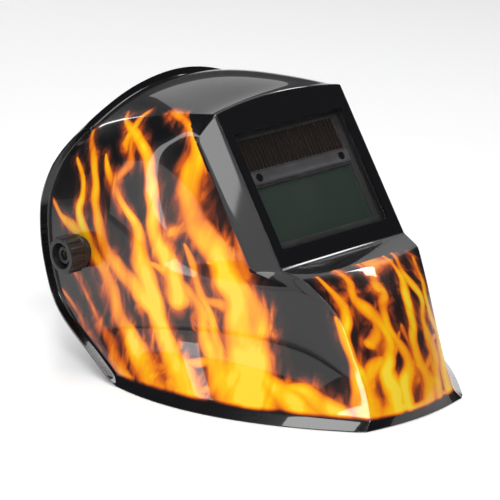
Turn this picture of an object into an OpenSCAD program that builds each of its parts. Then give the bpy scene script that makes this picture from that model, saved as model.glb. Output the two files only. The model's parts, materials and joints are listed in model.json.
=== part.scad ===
// Welding helmet with an auto-darkening filter, standing on its bottom rim.
// +X is forward, +Y is the wearer's left, +Z is up; the rim rests on z = 0.

/* [Shell] */
// Distance from the chin's front edge to the rim's lower back corner
rim_length = 185; // [175:1:195]
// Half width of the rim at its lower back corner
rim_half_w = 125; // [118:1:130]
// Half width of the chin at the bottom rim
chin_half_w = 46.7; // [42:0.5:50]
// Height of the open back's highest point
back_top_z = 204; // [198:1:208]
// Wall of the moulded shell
wall = 3; // [2.4:0.1:3.4]
// How far the bottom rim turns outward
flange = 4; // [2:0.5:5]
// How far the rear rim turns outward
rear_flange = 5.5; // [3:0.5:6]

// How far the chin's corners stand ahead of the origin
chin_x = 184.5; // [150:0.1:200]

/* [Window block] */
// Lean of the window's front plane from upright
plane_tilt = 35.1; // [33:0.1:37]
// Half width of the front plane
plane_half_w = 62; // [60:0.5:64]
// Height of the front plane along its slope
plane_h = 122.3; // [120:0.5:125]
// Width of the window opening
window_w = 106.4; // [104:0.2:107]
// Height of the window opening along the slope
window_h = 90.5; // [88:0.5:92]
// Margin below the window opening
window_low = 14.1; // [12:0.1:16]

/* [Filter cartridge] */
// Width of the cartridge
cart_w = 110; // [109:0.5:111]
// Height of the cartridge
cart_h = 90; // [89:0.5:91]
// Thickness of the cartridge's front half
cart_t = 9; // [8:0.5:10]
// Depth of the cover lens behind the front plane
lens_depth = 5; // [4.5:0.5:6]

/* [Headgear] */
// Pivot axis, behind the chin
pivot_x = -240; // [-242:1:-238]
// Pivot axis, above the rest plane
pivot_z = 90; // [88:1:92]
// Half length of the headband oval
head_a = 92; // [90:1:94]
// Half width of the headband oval
head_b = 76; // [74:1:77]
// Height of the headband
band_h = 22; // [20:1:24]
// Wall of the headband
band_t = 2; // [1.6:0.1:2.2]
// Backward lean of the headband
head_lean = 8; // [6:0.5:10]
// Height of the crown strap over the headband
crown_rise = 62; // [56:1:66]

/* [Knobs] */
// Radius of the tension knobs
knob_r = 14.5; // [13:0.5:15]
// Height of the tension knobs
knob_h = 13; // [12:0.5:14]
// Radius of the pivot bolts
bolt_r = 4; // [3.5:0.1:4.2]
// Radius of the ratchet knob
ratchet_r = 21; // [19:0.5:23]

/* [Hidden] */
$fn = 48;
gap = 0.3;

function lerp(a, b, t) = a + (b - a) * t;
function unit(v) = v / max(norm(v), 1e-6);
function at(list, s) = let (n = len(list) - 1, i = min(floor(s), n - 1)) lerp(list[i], list[i + 1], s - i);
function flip(p) = [p[0], -p[1], p[2]];
function forward(list) = [for (p = list) p + [chin_x, 0, 0]];

// The front plane's own directions: down its slope, and out of it.
down = [sin(plane_tilt), 0, -cos(plane_tilt)];
out = [cos(plane_tilt), 0, sin(plane_tilt)];
plane_base = [chin_x - 75.7, 0, 105.3];
function on_plane(y, up, depth = 0) = plane_base + [0, y, 0] - down * up - out * depth;
arch_rise = 6.3;
block_depth = 20.5;
block_spread = 8;

// Right-hand edge of the face, from the chin's bottom corner up to the window block's top corner.
plane_rows = [0, window_low, 36.7, 59.3, 82, window_low + window_h, 114, plane_h];
chin_edge = forward([[0, -chin_half_w, 0], [-2.5, -42.6, 7], [-8, -40, 22], [-18, -41.8, 44], [-29.5, -44, 70],
    [-36, -46.2, 82], [-56, -57, 101]]);
face_edge = concat(chin_edge, [for (up = plane_rows) on_plane(-plane_half_w, up)]);

// Right half of the rear rim, from its bottom corner up to the middle of the crown.
rear_edge = forward([[-rim_length, -rim_half_w + flange, 0], [-202, -120, 11], [-226, -118, 24], [-249, -117, 35],
    [-262, -116.5, 48], [-270, -116, 66], [-277, -115, 90], [-281, -112, 114], [-281, -109, 125],
    [-276, -103, 147], [-268, -93, 164], [-262, -82, 175], [-262, -62, 185.5], [-262, -42, 193.5],
    [-261, -21, 198.5], [-260, 0, back_top_z - 4]]);
rear_steps = [0, 0.5, 1.6, 2.9, 3.9, 4.6, 5.3, 5.9, 6.6, 7.3, 8.1, 8.9, 9.7, 10.35, 10.8];
crown_step = 11;

// Second line of each row: the back edge of the window block's side face, or a narrow bevel.
function block_edge(up) = let (w = up / plane_h)
    on_plane(-plane_half_w - block_spread, lerp(7.5, plane_h - 8, w), block_depth);
side_line = concat([for (i = [0:5]) chin_edge[i] + [-4.5, -3.2, 0]], [chin_edge[6] + [-7, -5, -5.5]],
    [for (up = plane_rows) block_edge(up)]);

// Crown rows start on the arch over the window and end on the rear rim.
arch_y = [60, 53.2, 36, 18, 0];
function arch_lift(y) = arch_rise * (1 - pow(y / plane_half_w, 2));
function arch(y) = on_plane(y, plane_h + arch_lift(y));
function crown_front(k) = arch(-arch_y[k]);
function crown_rear(k) = at(rear_edge, crown_step + k);

sweeps = [0, 0.14, 0.28, 0.42, 0.56, 0.7, 0.82, 0.92];
side_bulge = [21, 20, 18, 16, 15, 14, 13, 12, 12, 12, 12, 12, 12, 12, 11];
function side_row(i) = let (f = face_edge[i], s = side_line[i], r = at(rear_edge, rear_steps[i]), b = side_bulge[i],
        foot = i == 0 ? 1 : 0, lip = flange)
    concat([f + [0, -foot * 1.5, 0]],
        [for (t = sweeps) lerp(s, r, t) + [0, -b * 4 * t * (1 - t) - foot * lip, 0]],
        [r + [0, -foot * lip, 0], r + [-2.5, -(foot == 1 ? lip : rear_flange), 0]]);
crown_bulge = [4, 5, 6.5, 7.5, 8];
crown_spread = [3.5, 2, 0, 0, 0];
function crown_row(k) = let (f = crown_front(k), r = crown_rear(k), s = lerp(f, r, 0.07))
    concat([f], [for (t = sweeps) lerp(s, r, t) + [0, -crown_spread[k], crown_bulge[k]] * 4 * t * (1 - t)],
        [r, r + [-2.5, -rear_flange * arch_y[k] / 75, rear_flange * (1 - arch_y[k] / 110)]]);

right_rows = concat([for (i = [0:14]) side_row(i)], [for (k = [0:4]) crown_row(k)]);
ROWS = 2 * len(right_rows) - 1;
COLS = len(right_rows[0]);
rows = [for (i = [0:ROWS - 1]) i < len(right_rows) ? right_rows[i]
    : [for (p = right_rows[ROWS - 1 - i]) flip(p)]];

// The face between the two edges; its columns follow the arch points.
face_cols = [-plane_half_w, -60, -window_w / 2, -36, -18, 0, 18, 36, window_w / 2, 60, plane_half_w];
chin_bow = [6, 8, 9.5, 11.5, 13, 12, 8, 0];
TOP = 14;
SPAN = ROWS - 1 - 2 * TOP;
function face_point(i, j) = let (w = face_cols[j] / plane_half_w, e = face_edge[i],
        bow = i < 8 ? chin_bow[i] * (1 - w * w) : 0)
    [e[0] + bow, e[1] * -w, e[2]] + (i == TOP - 1 ? -down * arch_lift(face_cols[j]) / 2 : [0, 0, 0]);
face_inner = [for (i = [0:TOP - 1]) for (j = [1:SPAN - 1]) face_point(i, j)];

outer = concat([for (r = rows) each r], face_inner);
N = len(outer);
function loop_id(i, j) = i * COLS + j;
function face_id(i, j) = i == TOP ? loop_id(TOP + j, 0)
    : j == 0 ? loop_id(i, 0)
    : j == SPAN ? loop_id(ROWS - 1 - i, 0)
    : ROWS * COLS + i * (SPAN - 1) + j - 1;
WIN = [8, 12, 2, 8];
function in_window(i, j) = i >= WIN[0] && i < WIN[1] && j >= WIN[2] && j < WIN[3];
quads = concat(
    [for (i = [0:ROWS - 2]) for (j = [0:COLS - 2])
        [loop_id(i, j), loop_id(i + 1, j), loop_id(i + 1, j + 1), loop_id(i, j + 1)]],
    [for (i = [0:TOP - 1]) for (j = [0:SPAN - 1]) if (!in_window(i, j))
        [face_id(i, j), face_id(i, j + 1), face_id(i + 1, j + 1), face_id(i + 1, j)]]);

// Boundary chains of the open skin, in the order in which its faces pass them.
rim_chain = concat([for (j = [COLS - 1:-1:0]) loop_id(0, j)], [for (j = [1:SPAN]) face_id(0, j)],
    [for (j = [1:COLS - 1]) loop_id(ROWS - 1, j)], [for (i = [ROWS - 2:-1:1]) loop_id(i, COLS - 1)]);
window_chain = concat([for (j = [WIN[3]:-1:WIN[2] + 1]) face_id(WIN[0], j)],
    [for (i = [WIN[0]:WIN[1] - 1]) face_id(i, WIN[2])], [for (j = [WIN[2]:WIN[3] - 1]) face_id(WIN[1], j)],
    [for (i = [WIN[1]:-1:WIN[0] + 1]) face_id(i, WIN[3])]);
function wall_faces(chain) = let (n = len(chain)) [for (k = [0:n - 1]) let (a = chain[k], b = chain[(k + 1) % n])
    [b, a, a + N, b + N]];
function quad_normal(q) = unit(cross(outer[q[2]] - outer[q[0]], outer[q[3]] - outer[q[1]]));
function total(list, k = 0) = k == len(list) ? [0, 0, 0] : list[k] + total(list, k + 1);
function reversed(q) = [for (k = [len(q) - 1:-1:0]) q[k]];

module thick_skin() {
    normals = [for (q = quads) quad_normal(q)];
    inner = [for (v = [0:N - 1]) let (m = unit(total([for (k = [0:len(quads) - 1])
            if (quads[k][0] == v || quads[k][1] == v || quads[k][2] == v || quads[k][3] == v) normals[k]])),
            p = outer[v] - m * wall)
        [p[0], p[1], outer[v][2] == 0 ? 0 : max(p[2], 0.5)]];
    skin = concat(quads, [for (q = quads) [for (v = reversed(q)) v + N]], wall_faces(rim_chain),
        wall_faces(window_chain));
    polyhedron(concat(outer, inner), [for (q = skin) reversed(q)], convexity = 6);
}

module helmet_shell() {
    color([0.05, 0.05, 0.055]) difference() {
        thick_skin();
        both_sides() cylinder(r = bushing_r + 0.1, h = side_reach);
    }
}

// Pivot frame: local z points outboard from the pivot axis.
side_out = 90;
side_reach = 60;
bushing_r = 11;
bushing_face = 119.2;
bushing_flange_r = 13.4;
bushing_flange_t = 3.6;
module right_side() { translate([chin_x + pivot_x, 0, pivot_z]) rotate([90, 0, 0]) children(); }
module both_sides() { for (m = [0, 1]) mirror([0, m, 0]) right_side() translate([0, 0, side_out]) children(); }
module one_side(left) { mirror([0, left ? 1 : 0, 0]) right_side() children(); }

// Window frame: local x down the slope, y across, z out, from the opening's centre in the front plane.
module at_window() {
    c = on_plane(0, window_low + window_h / 2);
    translate(c) rotate([0, 90 - plane_tilt, 0]) children();
}
module slab(h, w, t, z, r = 3) {
    translate([0, 0, z]) linear_extrude(t) hull()
        for (x = [-1, 1]) for (y = [-1, 1]) translate([x * (h / 2 - r), y * (w / 2 - r)]) circle(r);
}
module box_at(x, y, z, sx, sy, sz) { translate([x - sx / 2, y - sy / 2, z]) cube([sx, sy, sz]); }

carrier_w = window_w + 12;
carrier_h = window_h + 12;
carrier_front = -wall - 0.2;
lens_z = -lens_depth - 1.2;
seal_t = 0.8;
front_z = lens_z - seal_t - cart_t;
back_t = 8;
back_z = front_z - back_t;

module lens_carrier() {
    color([0.06, 0.06, 0.065]) at_window() difference() {
        slab(carrier_h, carrier_w, carrier_front - back_z, back_z, 4);
        slab(cart_h + 0.8, cart_w + 0.8, -back_z + lens_z + seal_t, back_z - 1, 1.5);
        slab(window_h, window_w, 30, lens_z - 1, 2);
        slab(cart_h + 4, cart_w + 4, seal_t + 1.2 + gap, lens_z - seal_t, 2);
        translate([window_h / 2, 0, lens_z + 1.2]) cylinder(r = 12, h = 10);
        for (s = [-1, 1]) translate([latch_x, s * latch_y, back_z - 1]) cylinder(r = latch_screw_r + 0.05, h = 6);
    }
}
module cover_lens() {
    color([0.8, 0.85, 0.85, 0.3]) at_window() slab(cart_h + 3.4, cart_w + 3.4, 1, lens_z + 0.1, 2);
}
module cover_lens_seal() {
    color([0.04, 0.04, 0.04]) at_window() difference() {
        slab(cart_h + 3.4, cart_w + 3.4, seal_t - 0.1, lens_z - seal_t + 0.05, 2);
        slab(cart_h - 4, cart_w - 5, 4, lens_z - 2, 1);
    }
}

// Cartridge: a front half with the glass and the solar panel, a back half with the controls.
solar_x = -29.2;
solar_h = 24;
lcd_h = 43;
lcd_x = 17.9;
cell_w = 94;
sensor_x = -11.2;
sensor_y = 41;
module cartridge_front() {
    color([0.1, 0.1, 0.1]) at_window() difference() {
        slab(cart_h, cart_w, cart_t - 0.1, front_z, 2);
        box_at(solar_x, 0, lens_z - seal_t - 2.2, solar_h + 0.4, cell_w + 0.4, 6);
        box_at(lcd_x, 0, lens_z - seal_t - 3.2, lcd_h + 0.4, cell_w + 0.4, 8);
        box_at(lcd_x, 0, front_z - 1, lcd_h - 4, cell_w - 4, 20);
        box_at(-2, 0, front_z - 1, cart_h - 8, cart_w - 6, 4.4);
        for (s = [-1, 1]) translate([sensor_x, s * sensor_y, front_z - 1]) cylinder(r = 3.55, h = 20);
    }
}
module cartridge_back() {
    color([0.1, 0.1, 0.1]) at_window() difference() {
        slab(cart_h, cart_w, back_t - 0.1, back_z, 2);
        box_at(-2, 0, back_z + 2.2, cart_h - 8, cart_w - 6, 20);
        box_at(lcd_x, 0, back_z - 1, lcd_h + 2, cell_w + 4, 20);
        for (y = dial_y) translate([dial_x, y, back_z - 1]) cylinder(r = dial_stem_r + 0.05, h = 10);
        box_at(dial_x, test_y, back_z - 1, 5.4, 7.4, 10);
        box_at(dial_x + 0.5, battery_y, back_z - 1, 15.4, 24.4, 10);
    }
}
module solar_panel() {
    color([0.18, 0.1, 0.07]) at_window() box_at(solar_x, 0, lens_z - seal_t - 2.1, solar_h, cell_w, 1.6);
}
module uv_ir_filter() {
    color([0.05, 0.12, 0.1]) at_window() box_at(lcd_x, 0, lens_z - seal_t - 3.1, lcd_h, cell_w, 1.6);
}
module liquid_crystal_cell() {
    color([0.1, 0.2, 0.15]) at_window() box_at(lcd_x, 0, front_z + 0.4, lcd_h - 5, cell_w - 5, 4);
}
module sensor_strip() {
    color([0.35, 0.36, 0.37]) at_window() difference() {
        box_at(sensor_x + 0.6, 0, lens_z - seal_t - 0.05, 9.4, 96, 0.55);
        for (s = [-1, 1]) translate([sensor_x, s * sensor_y, lens_z - seal_t - 1]) cylinder(r = 3.2, h = 3);
    }
}
module arc_sensors() {
    color([0.02, 0.02, 0.03]) at_window() for (s = [-1, 1])
        translate([sensor_x, s * sensor_y, front_z + 3]) cylinder(r = 3, h = cart_t - 3.4);
}
module circuit_board() { color([0.1, 0.3, 0.16]) at_window() box_at(-31, 0, front_z - 1.4, 24, 98, 1.3); }
module button_cells() {
    color([0.75, 0.75, 0.76]) at_window() for (s = [-1, 1])
        translate([dial_x + 0.5, battery_y + s * 5.6, back_z + 1.7]) cylinder(r = 5, h = 3.2);
}
module battery_door() {
    color([0.09, 0.09, 0.09]) at_window() box_at(dial_x + 0.5, battery_y, back_z, 15, 24, 1.5);
}

// Controls on the wearer's side, along the cartridge's upper back.
dial_x = -31;
dial_y = [-38, -16, 6];
dial_r = 7;
dial_stem_r = 2.5;
test_y = 20;
battery_y = 38.5;
module dial(y) {
    at_window() translate([dial_x, y, 0]) {
        translate([0, 0, back_z - 6.3]) difference() {
            cylinder(r = dial_r, h = 6);
            for (a = [0:30:330]) rotate(a) translate([dial_r + 0.4, 0, -1]) cylinder(r = 1, h = 8);
            translate([-0.6, 1.5, -1]) cube([1.2, 6, 1.6]);
        }
        translate([0, 0, back_z - 0.4]) cylinder(r = dial_stem_r, h = 5);
    }
}
module shade_dial() { color([0.12, 0.12, 0.12]) dial(dial_y[0]); }
module sensitivity_dial() { color([0.12, 0.12, 0.12]) dial(dial_y[1]); }
module delay_dial() { color([0.12, 0.12, 0.12]) dial(dial_y[2]); }
module test_button() { color([0.6, 0.12, 0.08]) at_window() slab_at(dial_x, test_y, back_z - 2, 5, 7, 5, 1); }
module slab_at(x, y, z, h, w, t, r) { translate([x, y, 0]) slab(h, w, t, z, r); }
module inner_cover_lens() {
    color([0.8, 0.85, 0.85, 0.3]) at_window() box_at(lcd_x, 0, back_z + 0.4, lcd_h + 1.6, cell_w + 3.6, 1);
}

// Two turn-buttons on shoulder screws hold the cartridge in from behind.
latch_x = 48.2;
latch_y = 30;
latch_screw_r = 1.5;
module latch(s) {
    color([0.1, 0.1, 0.1]) at_window() translate([latch_x, s * latch_y, back_z - 2.2]) difference() {
        union() { cylinder(r = 3, h = 1.9); translate([-9, -2.5, 0]) cube([9, 5, 1.9]); }
        translate([0, 0, -1]) cylinder(r = latch_screw_r + 0.05, h = 4);
    }
}
module right_latch() { latch(-1); }
module left_latch() { latch(1); }
module latch_screws() {
    color([0.7, 0.7, 0.72]) at_window() for (s = [-1, 1]) translate([latch_x, s * latch_y, 0]) {
        translate([0, 0, back_z - 2.5]) cylinder(r = latch_screw_r, h = 6);
        translate([0, 0, back_z - 3.7]) cylinder(r = 2.6, h = 1.2);
    }
}
module carrier_screws() {
    color([0.7, 0.7, 0.72]) at_window() for (x = [-1, 1]) for (y = [-1, 1])
        translate([x * (carrier_h / 2 - 3), y * (carrier_w / 2 - 2.6), back_z - 1.6]) difference() {
            cylinder(r1 = 1.6, r2 = 2.2, h = 1.5);
            translate([-0.3, -1.5, -0.2]) cube([0.6, 3, 0.8]);
        }
}

// Pivot stack, outward from the head: bolt head, arm, washer, bushing through the shell, knob.
washer_out = 105.7;
arm_out = 104.6;
arm_t = 2.5;
arm_h = 18;
stop_disc_r = 17;
knob_base = bushing_face + gap;
module pivot_bushings() {
    color([0.08, 0.08, 0.08]) for (m = [0, 1]) mirror([0, m, 0]) right_side() difference() {
        union() {
            translate([0, 0, washer_out + gap]) cylinder(r = bushing_r, h = bushing_face - washer_out - gap);
            translate([0, 0, bushing_face - bushing_flange_t]) cylinder(r = bushing_flange_r, h = bushing_flange_t);
        }
        translate([0, 0, side_out]) cylinder(r = bolt_r + 0.05, h = side_reach);
    }
}
stop_r = 14;
stop_from = 30;
stop_to = 135;
module tilt_stop_discs() {
    color([0.1, 0.1, 0.1]) for (m = [0, 1]) mirror([0, m, 0]) right_side() translate([0, 0, washer_out + gap])
        difference() {
            cylinder(r = stop_disc_r, h = 1.5);
            translate([0, 0, -1]) cylinder(r = bushing_r + 0.05, h = 4);
            translate([0, 0, -1]) rotate(stop_from) rotate_extrude(angle = stop_to - stop_from)
                translate([stop_r - 1.7, 0]) square([3.4, 4]);
        }
}
module pivot_bolts() {
    color([0.1, 0.1, 0.1]) for (m = [0, 1]) mirror([0, m, 0]) right_side() {
        translate([0, 0, arm_out - arm_t - 3.6]) cylinder(r = 9, h = 3.5, $fn = 6);
        translate([0, 0, arm_out - arm_t - 1]) cylinder(r = bolt_r, h = knob_base + 7 - arm_out + arm_t + 1);
    }
}
module pivot_washers() {
    color([0.6, 0.6, 0.6]) for (m = [0, 1]) mirror([0, m, 0]) right_side() translate([0, 0, arm_out + 0.05])
        difference() { cylinder(r = 10, h = 0.9); translate([0, 0, -1]) cylinder(r = bolt_r + 0.05, h = 3); }
}

// Headgear frame: at the pivot axis, leaning back with the head.
module on_head() { translate([chin_x + pivot_x, 0, pivot_z]) rotate([0, -head_lean, 0]) children(); }
head_x = -16;
band_z = 2;
inner_out = 83.4;
slot_travel = [-12, 8];
stud_r = 3;
stud_x = -10;

// Arm: an outer plate on the pivot, folded forward and back to a slotted inner plate.
module headgear_arms() {
    color([0.1, 0.1, 0.1]) for (m = [0, 1]) mirror([0, m, 0]) on_head() {
        difference() {
            union() {
                rotate([90, 0, 0]) translate([0, 0, arm_out - arm_t]) cylinder(r = stop_disc_r, h = arm_t);
                translate([0, 0, -arm_h / 2]) linear_extrude(arm_h) polygon([[-17, -arm_out], [25, -arm_out],
                [36.5, -97],
                [36.5, -90], [27, -inner_out + arm_t], [-30, -inner_out + arm_t], [-30, -inner_out],
                [25, -inner_out], [33.7, -91], [33.7, -96], [24, -arm_out + arm_t], [-17, -arm_out + arm_t]]);
            }
            rotate([90, 0, 0]) translate([0, 0, side_out]) cylinder(r = bolt_r + 0.05, h = side_reach);
            translate([stud_x + slot_travel[0] - stud_r - gap, -inner_out - 5, -stud_r - gap])
                cube([slot_travel[1] - slot_travel[0] + 2 * stud_r + 2 * gap, 12, 2 * stud_r + 2 * gap]);
        }
        rotate([0, head_lean, 0]) translate([0, -arm_out + 0.5, stop_r]) rotate([90, 0, 0])
            cylinder(r = 1.5, h = 2.8);
    }
}

// Tension knob: a deep cup with finger lobes and a nut in its hub.
lobe_r = 2.6;
cup_floor = 5;
cup_r = 10;
hub_r = 6.4;
nut_r = 5.1;
nut_floor = 3;
module tension_knob(left) {
    color([0.06, 0.06, 0.06]) one_side(left) translate([0, 0, knob_base]) difference() {
        union() {
            cylinder(r = knob_r - lobe_r / 2, h = knob_h);
            for (a = [0:30:330]) rotate(a) translate([knob_r - lobe_r, 0, 0]) cylinder(r = lobe_r, h = knob_h - 1);
        }
        translate([0, 0, cup_floor]) difference() {
            cylinder(r = cup_r, h = knob_h);
            cylinder(r = hub_r, h = cup_floor);
        }
        translate([0, 0, -1]) cylinder(r = bolt_r + 0.05, h = knob_h + 2);
        translate([0, 0, nut_floor]) cylinder(r = nut_r + 0.1, h = 4, $fn = 6);
    }
}
module right_tension_knob() { tension_knob(false); }
module left_tension_knob() { tension_knob(true); }
module knob_nut(left) {
    color([0.75, 0.6, 0.3]) one_side(left) translate([0, 0, knob_base + nut_floor + 0.1]) difference() {
        cylinder(r = nut_r, h = 3.8, $fn = 6);
        translate([0, 0, -1]) cylinder(r = bolt_r + 0.05, h = 6);
    }
}
module knob_nuts_right() { knob_nut(false); }
module knob_nuts_left() { knob_nut(true); }

// Head oval, as a closed outline a given distance outside the sizing line.
function oval(d, n = 72) = [for (k = [0:n - 1]) let (a = 360 * k / n, c = cos(a), s = sin(a), e = 2 / 2.25)
    [head_x + sign(c) * pow(abs(c), e) * (head_a + d), sign(s) * pow(abs(s), e) * (head_b + d)]];
module oval_ring(d0, d1, z, h) {
    translate([0, 0, z]) linear_extrude(h) difference() { polygon(oval(d1)); polygon(oval(d0)); }
}
rear_cut = -52;
module headband() {
    color([0.12, 0.12, 0.13]) on_head() {
        intersection() {
            oval_ring(0, band_t, band_z, band_h);
            translate([rear_cut, -100, -50]) cube([200, 200, 100]);
        }
        for (s = [-1, 1]) translate([stud_x - 18, s > 0 ? head_b + band_t - 0.4 : -80.5, -8]) cube([36, 2.9, 16]);
        for (s = [-1, 1]) translate([-8, s > 0 ? head_b + 0.2 : -head_b - 1.8, band_z + band_h - 1]) cube([16, 1.6, 12]);
    }
}
module slide_studs() {
    color([0.1, 0.1, 0.1]) on_head() for (s = [-1, 1]) translate([stud_x, s * 80.5, 0]) rotate([s * -90, 0, 0]) {
        cylinder(r = stud_r, h = 3.4);
        translate([0, 0, 3.2]) cylinder(r = 5.5, h = 1.8);
    }
}
module sweatband() {
    color([0.16, 0.16, 0.17]) on_head() intersection() {
        oval_ring(-5.3, -0.3, band_z - 1, band_h + 2);
        translate([22, -100, -50]) cube([200, 200, 100]);
    }
}
snap_angle = 40;
module sweatband_snaps() {
    c = cos(snap_angle);
    s = sin(snap_angle);
    e = 2 / 2.25;
    lean_out = atan2(pow(s, 2 - e) / head_b, pow(c, 2 - e) / head_a);
    color([0.1, 0.1, 0.1]) on_head() for (m = [0, 1]) mirror([0, m, 0])
        translate([head_x + pow(c, e) * (head_a + band_t), pow(s, e) * (head_b + band_t), band_z + band_h / 2])
            rotate([0, 90, lean_out]) translate([0, 0, 0.25]) cylinder(r = 3, h = 1.4);
}

// Crown strap: two halves over the head, held by a peg where they lap.
strap_w = 16;
strap_t = 1.4;
function arch_line(d, a0, a1, n = 14) = [for (k = [0:n]) let (a = lerp(a0, a1, k / n))
    [(head_b - 1 + d) * cos(a), (crown_rise + d) * sin(a)]];
module half_strap(d, a0, a1) {
    translate([-8, 0, band_z + band_h + 6]) rotate([90, 0, 90]) linear_extrude(strap_w)
        polygon(concat(arch_line(d, a0, a1), reversed(arch_line(d + strap_t, a0, a1))));
}
module crown_strap_right() { color([0.1, 0.1, 0.11]) on_head() half_strap(-2, 180, 78); }
module crown_strap_left() { color([0.1, 0.1, 0.11]) on_head() half_strap(-0.4, 0, 102); }
module crown_strap_peg() {
    color([0.1, 0.1, 0.11]) on_head() translate([0, 0, band_z + band_h + 6 + crown_rise + strap_t + 0.05])
        cylinder(r = 4, h = 1.4);
}

// Ratchet: two racks pass through the housing and mesh with a pinion on the knob's shaft.
pitch_r = 8;
teeth = 12;
tooth_pitch = 2 * PI * pitch_r / teeth;
ratchet_x = head_x - head_a - 4;
ratchet_z = band_z + band_h / 2 - 6;
housing_w = 42;
housing_h = 36;
rack_t = 2;
strip_h = 5;
strip_out = 30;
bend_out = 44;
oval_back = head_x - head_a * pow(1 - pow(bend_out / (head_b + 1), 2.25), 1 / 2.25);
function rack_side(s, a, b) = s > 0 ? a : -b;
module rack(s) {
    strip_z = ratchet_z + (s > 0 ? 9.6 : -14.6);
    intersection() {
        oval_ring(0, band_t, ratchet_z - 11, 22);
        translate([-200, rack_side(s, bend_out, 144), -50]) cube([200 + rear_cut - 0.6, 100, 100]);
    }
    hull() {
        translate([oval_back - 1.8, rack_side(s, bend_out - 0.5, bend_out + 2), ratchet_z - 11]) cube([rack_t, 2.5, 22]);
        translate([ratchet_x - 1, rack_side(s, strip_out, strip_out + 2), strip_z]) cube([rack_t, 2, strip_h]);
    }
    translate([ratchet_x - 1, rack_side(s, -12, strip_out + 1), strip_z]) cube([rack_t, strip_out + 13, strip_h]);
    for (k = [-3:6]) translate([ratchet_x - 1, s * (k + 0.5) * tooth_pitch, ratchet_z + s * pitch_r])
        rotate([90, 0, 90]) linear_extrude(rack_t)
            polygon([[-1.25, s * 1.7], [1.25, s * 1.7], [0.35, -s * 0.9], [-0.35, -s * 0.9]]);
}
module right_rack() { color([0.12, 0.12, 0.13]) on_head() rack(-1); }
module left_rack() { color([0.12, 0.12, 0.13]) on_head() rack(1); }

// Ratchet frame: local z points back from the housing, out of the knob's face.
module at_ratchet() { on_head() translate([ratchet_x, 0, ratchet_z]) rotate([0, -90, 0]) children(); }
screw_spots = [for (x = [-1, 1]) for (y = [-1, 1]) [x * (housing_h / 2 - 1.4), y * (housing_w / 2 - 4)]];
module ratchet_housing() {
    color([0.1, 0.1, 0.1]) at_ratchet() difference() {
        slab(housing_h, housing_w, 7, -2.6, 2);
        box_at(0, 0, -1.4, 30.4, housing_w + 4, 20);
        for (p = screw_spots) translate([p[0], p[1], -1]) cylinder(r = 0.95, h = 10);
    }
}
module ratchet_cover() {
    color([0.1, 0.1, 0.1]) at_ratchet() difference() {
        slab(housing_h, housing_w, 2, 4.5, 2);
        translate([0, 0, 4]) cylinder(r = 3.05, h = 4);
        for (p = screw_spots) translate([p[0], p[1], 4]) cylinder(r = 1.05, h = 4);
    }
}
module ratchet_screws() {
    color([0.7, 0.7, 0.72]) at_ratchet() for (p = screw_spots) translate([p[0], p[1], 0]) {
        translate([0, 0, -0.5]) cylinder(r = 0.9, h = 7.2);
        translate([0, 0, 6.6]) cylinder(r = 1.4, h = 0.7);
    }
}
module ratchet_knob() {
    color([0.08, 0.08, 0.08]) at_ratchet() {
        translate([0, 0, 7.6]) difference() {
            union() {
                cylinder(r = ratchet_r - 1.5, h = 13);
                for (a = [0:24:336]) rotate(a) translate([ratchet_r - 2.8, 0, 0]) cylinder(r = 2.8, h = 12);
            }
            translate([0, 0, 8]) cylinder(r = ratchet_r - 5, h = 10);
        }
        translate([0, 0, 2.6]) cylinder(r = 3, h = 5.5);
    }
}
module ratchet_pinion() {
    color([0.75, 0.73, 0.68]) at_ratchet() translate([0, 0, -1]) {
        cylinder(r = pitch_r - 1.2, h = 3.4);
        for (k = [0:teeth - 1]) rotate(k * 360 / teeth) translate([pitch_r, 0]) linear_extrude(3.4)
            polygon([[-1.6, -1.3], [-1.6, 1.3], [0, 0.75], [0.9, 0.35], [0.9, -0.35], [0, -0.75]]);
    }
}
module ratchet_click_spring() {
    color([0.72, 0.73, 0.75]) at_ratchet() translate([0, 0, 3.1]) difference() {
        cylinder(r = 9, h = 0.8);
        translate([0, 0, -1]) cylinder(r = 3.4, h = 3);
    }
}
module nape_pad() { color([0.15, 0.15, 0.16]) at_ratchet() slab(housing_h - 4, housing_w - 1, 7, -10, 5); }
module strap_rivets() {
    color([0.1, 0.1, 0.11]) on_head() for (s = [-1, 1]) translate([0, s * (head_b + 1.85), band_z + band_h + 6])
        rotate([s * -90, 0, 0]) cylinder(r = 4, h = 1.1);
}

helmet_shell();
lens_carrier();
cover_lens();
cover_lens_seal();
cartridge_front();
cartridge_back();
solar_panel();
uv_ir_filter();
liquid_crystal_cell();
sensor_strip();
arc_sensors();
circuit_board();
button_cells();
battery_door();
shade_dial();
sensitivity_dial();
delay_dial();
test_button();
inner_cover_lens();
right_latch();
left_latch();
latch_screws();
carrier_screws();
pivot_bushings();
tilt_stop_discs();
pivot_bolts();
pivot_washers();
headgear_arms();
right_tension_knob();
left_tension_knob();
knob_nuts_right();
knob_nuts_left();
headband();
slide_studs();
sweatband();
sweatband_snaps();
crown_strap_right();
crown_strap_left();
crown_strap_peg();
strap_rivets();
right_rack();
left_rack();
ratchet_housing();
ratchet_cover();
ratchet_screws();
ratchet_knob();
ratchet_pinion();
ratchet_click_spring();
nape_pad();
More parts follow.
